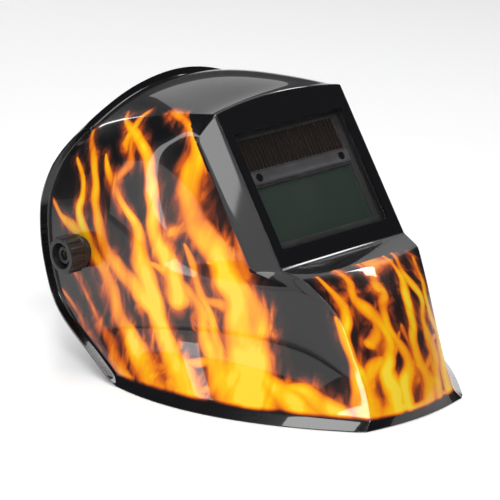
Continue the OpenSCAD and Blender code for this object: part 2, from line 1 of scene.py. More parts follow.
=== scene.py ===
import math
import bmesh
import bpy
import json
import numpy as np
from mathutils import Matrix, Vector


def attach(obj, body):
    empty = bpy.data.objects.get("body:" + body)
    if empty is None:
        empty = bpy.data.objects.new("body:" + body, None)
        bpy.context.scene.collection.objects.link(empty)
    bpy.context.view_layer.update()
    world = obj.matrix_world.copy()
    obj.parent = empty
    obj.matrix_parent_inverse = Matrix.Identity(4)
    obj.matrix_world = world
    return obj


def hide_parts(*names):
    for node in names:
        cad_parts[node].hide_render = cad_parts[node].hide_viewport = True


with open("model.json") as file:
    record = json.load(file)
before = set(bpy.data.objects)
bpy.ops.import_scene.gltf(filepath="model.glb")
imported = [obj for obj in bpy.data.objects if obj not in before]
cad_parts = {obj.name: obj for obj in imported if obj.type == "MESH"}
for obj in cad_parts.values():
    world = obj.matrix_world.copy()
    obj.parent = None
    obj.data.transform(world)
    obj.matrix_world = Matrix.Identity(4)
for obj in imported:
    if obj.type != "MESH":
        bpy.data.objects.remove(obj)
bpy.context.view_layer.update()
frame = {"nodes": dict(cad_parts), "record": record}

# ---------------------------------------------------------------------------
# Studio: a white floor under soft boxes: a long one overhead, a low one and narrow strips on the
# right, one in front, a large one behind, and strips on the left and at the rear. The camera is a
# long lens a little above the wearer's right front.
# ---------------------------------------------------------------------------
scene = bpy.context.scene
scene.view_settings.view_transform = "Standard"
centre = Vector((0.0535, -0.0421, 0.1018))
camera_turn = math.radians(47.98)
camera_rise = math.radians(18.92)
camera_away = 2.03
toward = Vector((math.sin(camera_turn) * math.cos(camera_rise),
                 -math.cos(camera_turn) * math.cos(camera_rise), math.sin(camera_rise)))
lens = bpy.data.cameras.new("camera")
lens.lens = 199.67
lens.sensor_width = 36.0
lens.clip_end = 20.0
camera = bpy.data.objects.new("camera", lens)
camera.location = centre + toward * camera_away
camera.rotation_euler = (math.pi / 2 - camera_rise, 0.0, camera_turn)
scene.collection.objects.link(camera)
scene.camera = camera


def soft_box(name, place, aim, width, height, power):
    lamp = bpy.data.lights.new(name, "AREA")
    lamp.shape = "RECTANGLE"
    lamp.size = width
    lamp.size_y = height
    lamp.energy = power
    stand = bpy.data.objects.new(name, lamp)
    stand.location = place
    stand.rotation_euler = (Vector(aim) - Vector(place)).to_track_quat("-Z", "Y").to_euler()
    scene.collection.objects.link(stand)


soft_box("overhead_box", (-0.1, -0.1, 1.6), (0, 0, 0.1), 1.2, 0.5, 14)
soft_box("low_right_box", (-0.1, -1.75, 0.25), (0, 0, 0.1), 1.6, 0.42, 2.2)
soft_box("right_strip", (-0.36, -1.8, 0.75), (0, 0, 0.12), 0.16, 1.1, 2.6)
soft_box("front_box", (1.05, -0.9, 1.28), (0.05, 0, 0.12), 0.55, 0.5, 13)
soft_box("edge_strip", (0.88, -1.41, 0.42), (0.05, 0, 0.1), 0.1, 0.75, 2.5)
soft_box("backdrop_box", (-1.5, 1.7, 1.6), (-0.2, 0.3, 0.0), 2.4, 1.6, 8.5)
soft_box("left_strip", (0.05, 1.2, 1.5), (0.05, 0, 0.15), 0.9, 0.12, 5)
soft_box("rear_strip", (-1.75, 0.3, 0.55), (0, 0, 0.1), 0.15, 1.0, 3.5)

sky = bpy.data.worlds.new("studio")
sky.use_nodes = True
air = sky.node_tree
air.nodes["Background"].inputs["Color"].default_value = (0.07, 0.07, 0.073, 1)
white = air.nodes.new("ShaderNodeBackground")
white.inputs["Color"].default_value = (1, 1, 1, 1)
seen = air.nodes.new("ShaderNodeLightPath")
either = air.nodes.new("ShaderNodeMixShader")
air.links.new(seen.outputs["Is Camera Ray"], either.inputs[0])
air.links.new(air.nodes["Background"].outputs[0], either.inputs[1])
air.links.new(white.outputs[0], either.inputs[2])
air.links.new(either.outputs[0], air.nodes["World Output"].inputs["Surface"])
scene.world = sky

bpy.ops.mesh.primitive_plane_add(size=6, location=(0, 0, -0.0005))
floor = bpy.context.object
floor.name = "floor"
floor_paint = bpy.data.materials.new("floor_paint")
floor_paint.use_nodes = True
matt = floor_paint.node_tree.nodes["Principled BSDF"]
matt.inputs["Base Color"].default_value = (0.95, 0.95, 0.95, 1)
matt.inputs["Roughness"].default_value = 0.7
matt.inputs["Emission Color"].default_value = (1, 1, 1, 1)
matt.inputs["Emission Strength"].default_value = 0.17
floor.data.materials.append(floor_paint)

# ---------------------------------------------------------------------------
# Shell: one moulding of black nylon, 3 mm thick in the CAD and 2.8 mm here, with a window block that
# leans back 35 degrees, a chin that bows forward and rims that turn outward. It is a cage of rows
# from the rim's right corner over the crown to the left corner, subdivided and thickened.
# ---------------------------------------------------------------------------
MM = 0.001
chin_x = 184.5
lean = math.radians(35.1)
block_half = 62.0
block_high = 122.3
window_wide = 106.4
window_high = 90.5
window_low = 14.1
lip = 4.0
rear_lip = 5.5
slope = np.array((math.sin(lean), 0.0, -math.cos(lean)))
facing = np.array((math.cos(lean), 0.0, math.sin(lean)))
block_foot = np.array((chin_x - 75.7, 0.0, 105.3))


def on_block(y, up, depth=0.0):
    return block_foot + np.array((0, y, 0)) - slope * up - facing * depth


def between(a, b, t):
    return a + (b - a) * t


def along(points, step):
    i = min(int(step), len(points) - 2)
    return between(points[i], points[i + 1], step - i)


def forward(points):
    return [np.array(p, float) + np.array((chin_x, 0, 0)) for p in points]


block_ups = [0, window_low, 36.7, 59.3, 82, window_low + window_high, 114, block_high]
chin_edge = forward([(0, -46.7, 0), (-2.5, -42.6, 7), (-8, -40, 22), (-18, -41.8, 44), (-29.5, -44, 70),
                     (-36, -46.2, 82), (-56, -57, 101)])
face_edge = chin_edge + [on_block(-block_half, up) for up in block_ups]
rear_edge = forward([(-185, -121, 0), (-202, -120, 11), (-226, -118, 24), (-249, -117, 35),
                     (-262, -116.5, 48), (-270, -116, 66), (-277, -115, 90), (-281, -112, 114),
                     (-281, -109, 125), (-276, -103, 147), (-268, -93, 164), (-262, -82, 175),
                     (-262, -62, 185.5), (-262, -42, 193.5), (-261, -21, 198.5), (-260, 0, 200)])
rear_steps = [0, 0.5, 1.6, 2.9, 3.9, 4.6, 5.3, 5.9, 6.6, 7.3, 8.1, 8.9, 9.7, 10.35, 10.8]
side_line = [p + np.array((-4.5, -3.2, 0)) for p in chin_edge[:6]]
side_line.append(chin_edge[6] + np.array((-7, -5, -5.5)))
for up in block_ups:
    side_line.append(on_block(-block_half - 8, between(7.5, block_high - 8, up / block_high), 20.5))
sweeps = [0, 0.14, 0.28, 0.42, 0.56, 0.7, 0.82, 0.92]
side_swell = [21, 20, 18, 16, 15, 14, 13, 12, 12, 12, 12, 12, 12, 12, 11]
arch_y = [60, 53.2, 36, 18, 0]
crown_swell = [4, 5, 6.5, 7.5, 8]
crown_spread = [3.5, 2, 0, 0, 0]


def arch_lift(y):
    return 6.3 * (1 - (y / block_half) ** 2)


def side_row(i):
    front, line, back = face_edge[i], side_line[i], along(rear_edge, rear_steps[i])
    foot = 1 if i == 0 else 0
    row = [front + np.array((0, -1.5 * foot, 0))]
    for t in sweeps:
        row.append(between(line, back, t) + np.array((0, -side_swell[i] * 4 * t * (1 - t) - foot * lip, 0)))
    out = lip if foot else rear_lip
    return row + [back + np.array((0, -foot * lip, 0)), back + np.array((-2.5, -out, 0))]


def crown_row(k):
    y = arch_y[k]
    front, back = on_block(-y, block_high + arch_lift(y)), along(rear_edge, 11 + k)
    start = between(front, back, 0.07)
    row = [front]
    for t in sweeps:
        swell = np.array((0, -crown_spread[k], crown_swell[k])) * 4 * t * (1 - t)
        row.append(between(start, back, t) + swell)
    return row + [back, back + np.array((-2.5, -rear_lip * y / 75, rear_lip * (1 - y / 110)))]


right_rows = [side_row(i) for i in range(15)] + [crown_row(k) for k in range(5)]
left_rows = [[p * np.array((1, -1, 1)) for p in row] for row in right_rows[-2::-1]]
shell_rows = right_rows + left_rows
face_ys = [-block_half, -60, -window_wide / 2, -36, -18, 0, 18, 36, window_wide / 2, 60, block_half]
chin_bow = [6, 8, 9.5, 11.5, 13, 12, 8]
row_count, col_count = len(shell_rows), len(shell_rows[0])
top_row, face_span = 14, 10
brow_row = 7
sill_row, head_row = 8, 12
jamb_right, jamb_left = 2, 8

cage = bmesh.new()
corner = cage.verts.layers.float.new("crease_vert")
grid = [[cage.verts.new(p * MM) for p in row] for row in shell_rows]
face = []
for i in range(top_row):
    line = [grid[i][0]]
    for y in face_ys[1:-1]:
        w = y / block_half
        bow = chin_bow[i] * (1 - w * w) if i < len(chin_bow) else 0
        spot = face_edge[i] * np.array((1, -w, 1)) + np.array((bow, 0, 0))
        if i == top_row - 1:
            spot = spot - slope * arch_lift(y) / 2
        line.append(cage.verts.new(spot * MM))
    face.append(line + [grid[row_count - 1 - i][0]])
face.append([grid[top_row + j][0] for j in range(face_span + 1)])
for i in range(row_count - 1):
    for j in range(col_count - 1):
        cage.faces.new((grid[i][j], grid[i + 1][j], grid[i + 1][j + 1], grid[i][j + 1]))
for i in range(top_row):
    for j in range(face_span):
        if not (sill_row <= i < head_row and jamb_right <= j < jamb_left):
            cage.faces.new((face[i][j], face[i][j + 1], face[i + 1][j + 1], face[i + 1][j]))

crease = cage.edges.layers.float.new("crease_edge")


def sharpen(points, amount):
    for a, b in zip(points, points[1:]):
        edge = cage.edges.get((a, b))
        edge[crease] = max(edge[crease], amount)


for rows in (grid[:top_row + 1], grid[:row_count - top_row - 2:-1]):
    sharpen([row[0] for row in rows], 0.62)
    sharpen([row[1] for row in rows[brow_row:]], 0.6)
    sharpen([row[1] for row in rows[:brow_row]], 0.5)
    sharpen([row[1] for row in rows[brow_row - 1:brow_row + 1]], 0.5)
    sharpen(rows[top_row][0:2], 0.6)
    sharpen(rows[brow_row][0:2], 0.6)
sharpen(face[top_row], 0.62)
sharpen(face[brow_row], 0.62)
sharpen(face[brow_row - 1], 0.45)
for i in (top_row + 1, row_count - top_row - 2):
    sharpen(grid[i][0:7], 0.55)
    sharpen(grid[i][6:9], 0.4)
opening_rows = face[sill_row:head_row + 1]
for row in (face[sill_row][jamb_right:jamb_left + 1], face[head_row][jamb_right:jamb_left + 1],
            [r[jamb_right] for r in opening_rows], [r[jamb_left] for r in opening_rows]):
    sharpen(row, 0.9)
for i in (sill_row, head_row):
    for j in (jamb_right, jamb_left):
        face[i][j][corner] = 0.9
sharpen([row[col_count - 2] for row in grid], 0.5)
sharpen(face[1], 0.4)
sharpen(grid[1], 0.45)
sharpen(grid[row_count - 2], 0.45)

shell_mesh = bpy.data.meshes.new("shell")
cage.to_mesh(shell_mesh)
cage.free()
shell = bpy.data.objects.new("shell", shell_mesh)
scene.collection.objects.link(shell)
shell_mesh.shade_smooth()


def apply_modifiers(piece):
    built = bpy.data.meshes.new_from_object(piece.evaluated_get(bpy.context.evaluated_depsgraph_get()))
    piece.modifiers.clear()
    piece.data = built


smooth = shell.modifiers.new("smooth", "SUBSURF")
smooth.levels = smooth.render_levels = 4
apply_modifiers(shell)

# Flame artwork: tongues listed on the side (forward, up) and on the chin (across, up), in
# millimetres from the chin's corner and the rim. Each tongue is (points, root half width, heat).
side_tongues = [
    ([(-148, 2), (-170, 22), (-192, 40), (-207, 60), (-217, 82), (-233, 98), (-244, 118), (-246, 140),
      (-258, 156)], 8, 1.0),
    ([(-176, 2), (-196, 18), (-212, 34), (-228, 50), (-242, 68), (-252, 76)], 5, 0.85),
    ([(-196, 3), (-214, 16), (-232, 30), (-246, 44), (-262, 58)], 4, 0.7),
    ([(-118, 2), (-142, 24), (-161, 46), (-170, 68), (-182, 90), (-186, 112), (-202, 130), (-216, 146),
      (-228, 164)], 9, 1.05),
    ([(-174, 64), (-192, 78), (-211, 92), (-222, 110), (-231, 130), (-234, 150), (-246, 166),
      (-264, 178)], 6, 0.95),
    ([(-150, 72), (-156, 92), (-170, 110), (-180, 132), (-183, 154), (-194, 172), (-212, 184),
      (-236, 190)], 6.5, 1.0),
    ([(-76, 2), (-88, 24), (-94, 50), (-101, 76), (-116, 100), (-132, 116), (-146, 130), (-153, 146),
      (-155, 164), (-157, 182), (-170, 195), (-192, 203)], 13, 1.12),
    ([(-26, 2), (-44, 10), (-64, 20), (-84, 36), (-98, 56), (-98, 76), (-104, 92), (-116, 104)], 6, 0.95),
    ([(-86, 60), (-90, 76), (-102, 90), (-116, 100), (-130, 102)], 7, 1.05),
    ([(-2, 2), (-10, 22), (-17, 44), (-24, 60), (-36, 78)], 7, 1.0),
    ([(-86, 2), (-104, 22), (-122, 44), (-132, 66), (-148, 84), (-170, 92), (-186, 96)], 7, 0.85),
    ([(-72, 2), (-92, 16), (-110, 34), (-118, 54), (-130, 74), (-138, 98), (-150, 112)], 5.5, 0.9),
    ([(-12, 3), (-28, 12), (-46, 22), (-66, 22), (-88, 30), (-104, 46)], 5, 0.95),
    ([(-96, 66), (-110, 74), (-126, 74), (-136, 64), (-134, 52)], 5, 0.7),
    ([(-212, 176), (-212, 190), (-210, 203)], 3, 0.85),
    ([(-240, 100), (-252, 108), (-266, 112), (-280, 122)], 4, 0.75),
    ([(-160, 118), (-149, 130), (-146, 146), (-151, 162)], 4, 0.75),
    ([(-166, 3), (-160, 16), (-146, 26), (-128, 28), (-108, 38)], 5, 0.8),
    ([(-214, 148), (-206, 160), (-206, 174), (-214, 188)], 3.5, 0.8),
    ([(-122, 3), (-112, 14), (-96, 20)], 5, 0.7),
    ([(-100, 96), (-112, 118), (-118, 140), (-130, 156), (-134, 172)], 4, 0.6),
]
chin_tongues = [
    ([(-36, 2), (-39, 22), (-44, 44), (-45, 66), (-40, 84), (-46, 104)], 6, 1.0),
    ([(-24, 2), (-18, 20), (-23, 38), (-14, 56), (-18, 72), (-30, 86), (-26, 98), (-34, 112)], 6, 1.0),
    ([(-8, 2), (-10, 22), (-2, 40), (-9, 58), (-12, 76), (-4, 90), (-8, 112)], 5, 0.95),
    ([(8, 2), (14, 20), (8, 40), (10, 60), (13, 78), (22, 90), (18, 112)], 6, 1.0),
    ([(24, 2), (22, 22), (29, 40), (24, 60), (30, 76), (26, 92), (36, 110)], 5, 0.95),
    ([(38, 2), (36, 24), (41, 48), (36, 70), (44, 98)], 5, 1.0),
    ([(-34, 5), (-20, 11), (-2, 8), (14, 12), (34, 8)], 6, 0.95),
    ([(-28, 58), (-20, 67), (-23, 80)], 4, 0.8),
    ([(-38, 34), (-28, 44), (-14, 48), (-2, 60)], 4, 0.85),
    ([(10, 32), (22, 36), (32, 46), (40, 44)], 4, 0.85),
    ([(2, 28), (4, 48), (0, 66)], 4, 0.7),
    ([(-8, 90), (0, 98), (10, 102), (24, 100)], 3.5, 0.9),
]


def curve_through(points, steps=6):
    knots = np.array([points[0]] + list(points) + [points[-1]], float)
    run = []
    for a, b, c, d in zip(knots, knots[1:], knots[2:], knots[3:]):
        for t in np.arange(steps) / steps:
            run.append(0.5 * (2 * b + (c - a) * t + (2 * a - 5 * b + 4 * c - d) * t * t
                              + (3 * b - a - 3 * c + d) * t ** 3))
    return np.array(run + [knots[-1]])


def burn(spots, tongues):
    """Heat of the flame strands from 0 to 1, and of the haze round them, on a flat chart."""
    u, v = spots[:, 0], spots[:, 1]
    spots = spots + np.stack([1.3 * np.sin(v / 7.3 + 1.7 * np.sin(u / 12)) + 0.5 * np.sin(v / 2.9 + u / 5.3),
                              1.2 * np.sin(u / 6.2 + 1.4 * np.sin(v / 10))], 1)
    heat = np.zeros(len(spots))
    glow = np.zeros(len(spots))
    for points, root, strength in tongues:
        run = curve_through(points)
        nearest = np.full(len(spots), 1e9)
        place = np.zeros(len(spots))
        for k, (a, b) in enumerate(zip(run, run[1:])):
            reach = b - a
            t = np.clip(((spots - a) @ reach) / max(reach @ reach, 1e-6), 0, 1)
            gap = np.linalg.norm(spots - a - t[:, None] * reach, axis=1)
            closer = gap < nearest
            nearest = np.where(closer, gap, nearest)
            place = np.where(closer, (k + t) / (len(run) - 1), place)
        width = root * (1 - place) ** 0.7 * (1.2 + 0.25 * np.sin(11 * place + root)) + 1.2
        r = nearest / width
        hump = np.clip(1 - (r / 1.25) ** 2, 0, 1) ** 0.85
        heat = np.maximum(heat, hump * strength * (1 - 0.22 * place))
        glow = np.maximum(glow, np.exp(-(nearest / (width * 1.3 + 5)) ** 2) * strength * (1 - 0.35 * place))
    return heat, glow


def add_values(mesh, name, values):
    layer = mesh.attributes.new(name, "FLOAT", "POINT")
    layer.data.foreach_set("value", np.asarray(values, np.float32))


spots = np.empty(len(shell.data.vertices) * 3)
shell.data.vertices.foreach_get("co", spots)
spots = spots.reshape(-1, 3) / MM
edge_x = np.interp(spots[:, 2], [p[2] for p in chin_edge], [p[0] for p in chin_edge])
edge_y = np.interp(spots[:, 2], [p[2] for p in chin_edge], [-p[1] for p in chin_edge])
on_chin = (np.abs(spots[:, 1]) < edge_y + 0.8) & (spots[:, 0] > edge_x - 0.8)
side_heat, side_glow = burn(np.stack([spots[:, 0] - chin_x, spots[:, 2]], 1), side_tongues)
chin_heat, chin_glow = burn(spots[:, 1:3], chin_tongues)
above = np.clip((spots[:, 2] - 5) / 4, 0, 1)
ahead = spots @ facing - block_foot @ facing
block = (ahead > -21.5) & (spots[:, 2] > 97 + 0.12 * np.clip(chin_x - 75 - spots[:, 0], 0, 30))
crown_line = np.interp(chin_x - spots[:, 0], [147, 185, 230, 265], [206, 203, 194, 184])
below_crown = np.clip((crown_line + 2 - spots[:, 2]) / 5, 0, 1)
rear_up = [0, 11, 24, 35, 48, 66, 90, 114, 125, 147, 164, 175, 186, 204]
rear_back = [-185, -202, -226, -249, -262, -270, -277, -281, -281, -276, -268, -262, -262, -262]
off_rim = np.clip((spots[:, 0] - chin_x - np.interp(spots[:, 2], rear_up, rear_back) - 2) / 4, 0, 1)
painted = above * below_crown * off_rim * np.where(block & ~on_chin, 0, 1)
add_values(shell.data, "fire_core", np.where(on_chin, chin_heat, side_heat) * painted)
add_values(shell.data, "fire_haze", np.where(on_chin, chin_glow, side_glow) * painted)


def effect(name, inputs, outputs):
    """An empty shader group with named value inputs and outputs, and its two ends."""
    group = bpy.data.node_groups.new(name, "ShaderNodeTree")
    for label, value in inputs:
        socket = group.interface.new_socket(label, in_out="INPUT", socket_type="NodeSocketFloat")
        socket.default_value = value
    for label in outputs:
        group.interface.new_socket(label, in_out="OUTPUT", socket_type="NodeSocketFloat")
    return group, group.nodes.new("NodeGroupInput"), group.nodes.new("NodeGroupOutput")


def formula(tree, kind, a, b=0.5, c=0.0, clamp=False):
    node = tree.nodes.new("ShaderNodeMath")
    node.operation = kind
    node.use_clamp = clamp
    for socket, value in zip(node.inputs, (a, b, c)):
        if isinstance(value, (int, float)):
            socket.default_value = value
        else:
            tree.links.new(value, socket)
    return node.outputs[0]


def noise(tree, scale, stretch=(1, 1, 1), detail=3.0, rough=0.5, warp=0.0):
    place = tree.nodes.new("ShaderNodeTexCoord")
    sized = tree.nodes.new("ShaderNodeMapping")
    sized.inputs["Scale"].default_value = stretch
    grain = tree.nodes.new("ShaderNodeTexNoise")
    if isinstance(scale, (int, float)):
        grain.inputs["Scale"].default_value = scale
    else:
        tree.links.new(scale, grain.inputs["Scale"])
    grain.inputs["Detail"].default_value = detail
    grain.inputs["Roughness"].default_value = rough
    grain.inputs["Distortion"].default_value = warp
    tree.links.new(place.outputs["Object"], sized.inputs["Vector"])
    tree.links.new(sized.outputs["Vector"], grain.inputs["Vector"])
    return grain.outputs["Fac"]


def ramp(tree, value, stops):
    node = tree.nodes.new("ShaderNodeValToRGB")
    steps = node.color_ramp.elements
    steps[1].position, steps[0].position = stops[-1][0], stops[0][0]
    steps[1].color, steps[0].color = (*stops[-1][1], 1), (*stops[0][1], 1)
    for spot, tone in stops[1:-1]:
        steps.new(spot).color = (*tone, 1)
    tree.links.new(value, node.inputs["Fac"])
    return node.outputs["Color"]


def bump(tree, height, depth, shader):
    node = tree.nodes.new("ShaderNodeBump")
    node.inputs["Strength"].default_value = 1.0
    node.inputs["Distance"].default_value = depth
    tree.links.new(height, node.inputs["Height"])
    tree.links.new(node.outputs["Normal"], shader.inputs["Normal"])


def new_material(name):
    made = bpy.data.materials.new(name)
    made.use_nodes = True
    return made, made.node_tree, made.node_tree.nodes["Principled BSDF"]


def place_effect(tree, group, **values):
    node = tree.nodes.new("ShaderNodeGroup")
    node.node_tree = group
    for label, value in values.items():
        node.inputs[label].default_value = value
    return node.outputs


# Fine marks from handling: long hairline scratches and slow smears.
handling, enter, leave = effect("handling_marks", [("Scratch Scale", 300), ("Smear Scale", 30)],
                                ["Scratches", "Smears"])
hairline = noise(handling, enter.outputs["Scratch Scale"], (1, 0.08, 0.35), 2.0, 0.6, 0.6)
handling.links.new(formula(handling, "MULTIPLY_ADD", hairline, 6.0, -3.9, True), leave.inputs["Scratches"])
handling.links.new(noise(handling, enter.outputs["Smear Scale"], (1, 1, 1), 3.0, 0.55, 0.8),
                   leave.inputs["Smears"])


def attribute(tree, name):
    node = tree.nodes.new("ShaderNodeAttribute")
    node.attribute_name = name
    return node.outputs["Fac"]


# Painted shell: airbrushed flame colours under a hard clear coat.
paint, tree, coat = new_material("painted_shell")
streaks = noise(tree, 22, (2.6, 1.6, 0.6), 3.0, 0.5, 1.2)
wisps = noise(tree, 34, (2.2, 1.8, 0.5), 3.0, 0.5, 1.6)
embers = noise(tree, 15, (1.4, 1, 0.8), 2.0, 0.4, 0.6)
lick = formula(tree, "MULTIPLY_ADD", embers, 1.2, formula(tree, "MULTIPLY_ADD", streaks, 0.7, -0.03))
flame = formula(tree, "MULTIPLY", attribute(tree, "fire_core"), lick)
curl = formula(tree, "MULTIPLY_ADD", wisps, 1.3, -0.1)
haze = formula(tree, "MULTIPLY", attribute(tree, "fire_haze"), curl)
hot = formula(tree, "MAXIMUM", flame, formula(tree, "MULTIPLY", haze, 1.1))
fire = ramp(tree, hot, [(0.12, (0.004, 0.004, 0.005)), (0.26, (0.035, 0.012, 0.009)),
                        (0.38, (0.19, 0.035, 0.014)), (0.50, (0.60, 0.10, 0.008)),
                        (0.63, (0.88, 0.24, 0.006)), (0.78, (0.95, 0.41, 0.004)),
                        (0.92, (0.96, 0.57, 0.006)), (1.0, (0.96, 0.68, 0.04))])
tree.links.new(fire, coat.inputs["Base Color"])
marks = place_effect(tree, handling, **{"Scratch Scale": 260, "Smear Scale": 22})
tree.links.new(formula(tree, "MULTIPLY_ADD", marks["Smears"], 0.12, 0.2), coat.inputs["Roughness"])
coat.inputs["Coat Weight"].default_value = 1.0
coat.inputs["Coat Roughness"].default_value = 0.03
coat.inputs["Specular IOR Level"].default_value = 0.15
bump(tree, noise(tree, 240, (1, 1, 1), 2.0, 0.5), 0.00002, coat)
shell.data.materials.append(paint)

# Inside of the shell: the same nylon unpainted, satin, with flow marks from the mould.
bare, tree, shader = new_material("bare_nylon_inside")
flow = noise(tree, 14, (1, 1, 2.5), 4.0, 0.6, 1.2)
tree.links.new(ramp(tree, flow, [(0.3, (0.006, 0.006, 0.0065)), (0.7, (0.013, 0.013, 0.014))]),
               shader.inputs["Base Color"])
tree.links.new(formula(tree, "MULTIPLY_ADD", flow, 0.2, 0.38), shader.inputs["Roughness"])
bump(tree, noise(tree, 700, (1, 1, 1), 2.0, 0.6), 0.00006, shader)
shell.data.materials.append(bare)
walls = shell.modifiers.new("walls", "SOLIDIFY")
walls.thickness = 2.8 * MM
walls.offset = -1
walls.material_offset = 1
trimmed = shell.modifiers.new("trimmed_edges", "BEVEL")
trimmed.width = 0.45 * MM
trimmed.segments = 2
trimmed.limit_method = "ANGLE"
trimmed.angle_limit = math.radians(55)
apply_modifiers(shell)
for corner in shell.data.vertices:
    corner.co.z = max(corner.co.z, 0.0)
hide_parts("helmet_shell")
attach(shell, "root")

# ---------------------------------------------------------------------------
# Lens carrier, cover lens and its gasket: a matt nylon tray screwed in behind the window, which
# holds a clear polycarbonate lens against a soft rubber ring.
# ---------------------------------------------------------------------------
body_of = {node: body for body, nodes in frame["record"]["behaviour"]["bodies"].items() for node in nodes}
moulded, enter, leave = effect("moulded_grain", [("Grain Scale", 900), ("Tone Scale", 35)],
                               ["Height", "Tone"])
moulded.links.new(noise(moulded, enter.outputs["Grain Scale"], (1, 1, 1), 2.0, 0.6),
                  leave.inputs["Height"])
moulded.links.new(noise(moulded, enter.outputs["Tone Scale"], (1, 1, 1), 4.0, 0.6, 0.5),
                  leave.inputs["Tone"])
settled, enter, leave = effect("settled_dust", [("Speck Scale", 120)], ["Mask"])
lying = settled.nodes.new("ShaderNodeNewGeometry")
upward = settled.nodes.new("ShaderNodeSeparateXYZ")
settled.links.new(lying.outputs["Normal"], upward.inputs[0])
dust = noise(settled, enter.outputs["Speck Scale"], (1, 1, 1), 5.0, 0.7)
specks = formula(settled, "MULTIPLY_ADD", dust, 3.0, -1.3, True)
settled.links.new(formula(settled, "MULTIPLY", upward.outputs["Z"], specks, 0, True), leave.inputs["Mask"])


def moulded_plastic(name, tone, rough, grain=900, depth=0.00006, dust=0.3, gloss=0.0):
    """Moulded plastic: a fine spark-eroded grain, uneven tone, hairline scratches, dust on top."""
    made, tree, shader = new_material(name)
    grainy = place_effect(tree, moulded, **{"Grain Scale": grain, "Tone Scale": 40})
    marks = place_effect(tree, handling, **{"Scratch Scale": 340, "Smear Scale": 50})
    dusty = place_effect(tree, settled, **{"Speck Scale": 150})
    pale = [min(1.0, 1.35 * c + 0.004) for c in tone]
    base = ramp(tree, grainy["Tone"], [(0.3, [0.75 * c for c in tone]), (0.7, pale)])
    mix = tree.nodes.new("ShaderNodeMix")
    mix.data_type = "RGBA"
    tree.links.new(formula(tree, "MULTIPLY", dusty["Mask"], dust), mix.inputs["Factor"])
    tree.links.new(base, mix.inputs["A"])
    mix.inputs["B"].default_value = (0.22, 0.21, 0.2, 1)
    tree.links.new(mix.outputs["Result"], shader.inputs["Base Color"])
    worn = formula(tree, "MULTIPLY_ADD", marks["Scratches"], 0.15, rough - 0.06)
    tree.links.new(formula(tree, "MULTIPLY_ADD", marks["Smears"], 0.14, worn), shader.inputs["Roughness"])
    shader.inputs["Coat Weight"].default_value = gloss
    shader.inputs["Coat Roughness"].default_value = 0.12
    bump(tree, grainy["Height"], depth, shader)
    return made


def give(material, *nodes):
    for node in nodes:
        for held in frame["nodes"][node].material_slots:
            held.material = material


def eased(node, material, width=0.35, angle=38, steps=2):
    """The CAD piece with its sharp corners eased, as a mould or a tumbler leaves them."""
    part = bpy.data.objects.new(node + "_eased", frame["nodes"][node].data.copy())
    scene.collection.objects.link(part)
    cleaned = bmesh.new()
    cleaned.from_mesh(part.data)
    bmesh.ops.remove_doubles(cleaned, verts=cleaned.verts, dist=0.000004)
    bmesh.ops.dissolve_limit(cleaned, angle_limit=math.radians(0.6), verts=cleaned.verts,
                             edges=cleaned.edges)
    cleaned.to_mesh(part.data)
    cleaned.free()
    ease = part.modifiers.new("ease", "BEVEL")
    ease.width = width * MM
    ease.segments = steps
    ease.limit_method = "ANGLE"
    ease.angle_limit = math.radians(angle)
    ease.use_clamp_overlap = True
    apply_modifiers(part)
    part.data.shade_smooth()
    part.data.set_sharp_from_angle(angle=math.radians(angle))
    part.data.materials.clear()
    part.data.materials.append(material)
    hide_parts(node)
    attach(part, body_of[node])
    return part


tray_black = moulded_plastic("tray_nylon", (0.008, 0.008, 0.0085), 0.42)
eased("lens_carrier", tray_black, 0.5)

clear, tree, shader = new_material("clear_polycarbonate")
marks = place_effect(tree, handling, **{"Scratch Scale": 420, "Smear Scale": 26})
tree.links.new(formula(tree, "MULTIPLY_ADD", marks["Scratches"], 0.2, 0.02), shader.inputs["Roughness"])
tree.links.new(ramp(tree, marks["Smears"], [(0.3, (0.02, 0.022, 0.022)), (0.7, (0.03, 0.033, 0.033))]),
               shader.inputs["Base Color"])
tree.links.new(formula(tree, "MULTIPLY_ADD", marks["Scratches"], 0.08, 0.05), shader.inputs["Alpha"])
shader.inputs["IOR"].default_value = 1.58
give(clear, "cover_lens", "inner_cover_lens")

gasket, tree, shader = new_material("gasket_rubber")
grainy = place_effect(tree, moulded, **{"Grain Scale": 1400, "Tone Scale": 90})
tree.links.new(ramp(tree, grainy["Tone"], [(0.3, (0.006, 0.006, 0.006)), (0.7, (0.016, 0.016, 0.016))]),
               shader.inputs["Base Color"])
tree.links.new(formula(tree, "MULTIPLY_ADD", grainy["Tone"], 0.2, 0.6), shader.inputs["Roughness"])
bump(tree, grainy["Height"], 0.00008, shader)
give(gasket, "cover_lens_seal")

# ---------------------------------------------------------------------------
# Filter cartridge: two grey-black ABS halves round a dark amber solar cell, a green coated filter
# glass over the liquid crystal, and two arc sensors in a satin strip.
# ---------------------------------------------------------------------------
case_grey = moulded_plastic("cartridge_abs", (0.034, 0.033, 0.034), 0.36, 700, 0.00004, 0.1)
eased("cartridge_front", case_grey, 0.4)
eased("cartridge_back", case_grey, 0.4)
eased("battery_door", case_grey, 0.3)

strip_grey = moulded_plastic("sensor_strip_satin", (0.062, 0.060, 0.064), 0.34, 500, 0.00003, 0.1)
eased("sensor_strip", strip_grey, 0.15)

window_dark, tree, shader = new_material("sensor_window")
marks = place_effect(tree, handling, **{"Scratch Scale": 700, "Smear Scale": 200})
tree.links.new(ramp(tree, marks["Smears"], [(0.3, (0.003, 0.003, 0.004)), (0.7, (0.008, 0.007, 0.010))]),
               shader.inputs["Base Color"])
tree.links.new(formula(tree, "MULTIPLY_ADD", marks["Scratches"], 0.1, 0.06), shader.inputs["Roughness"])
eased("arc_sensors", window_dark, 0.5, 38, 3)

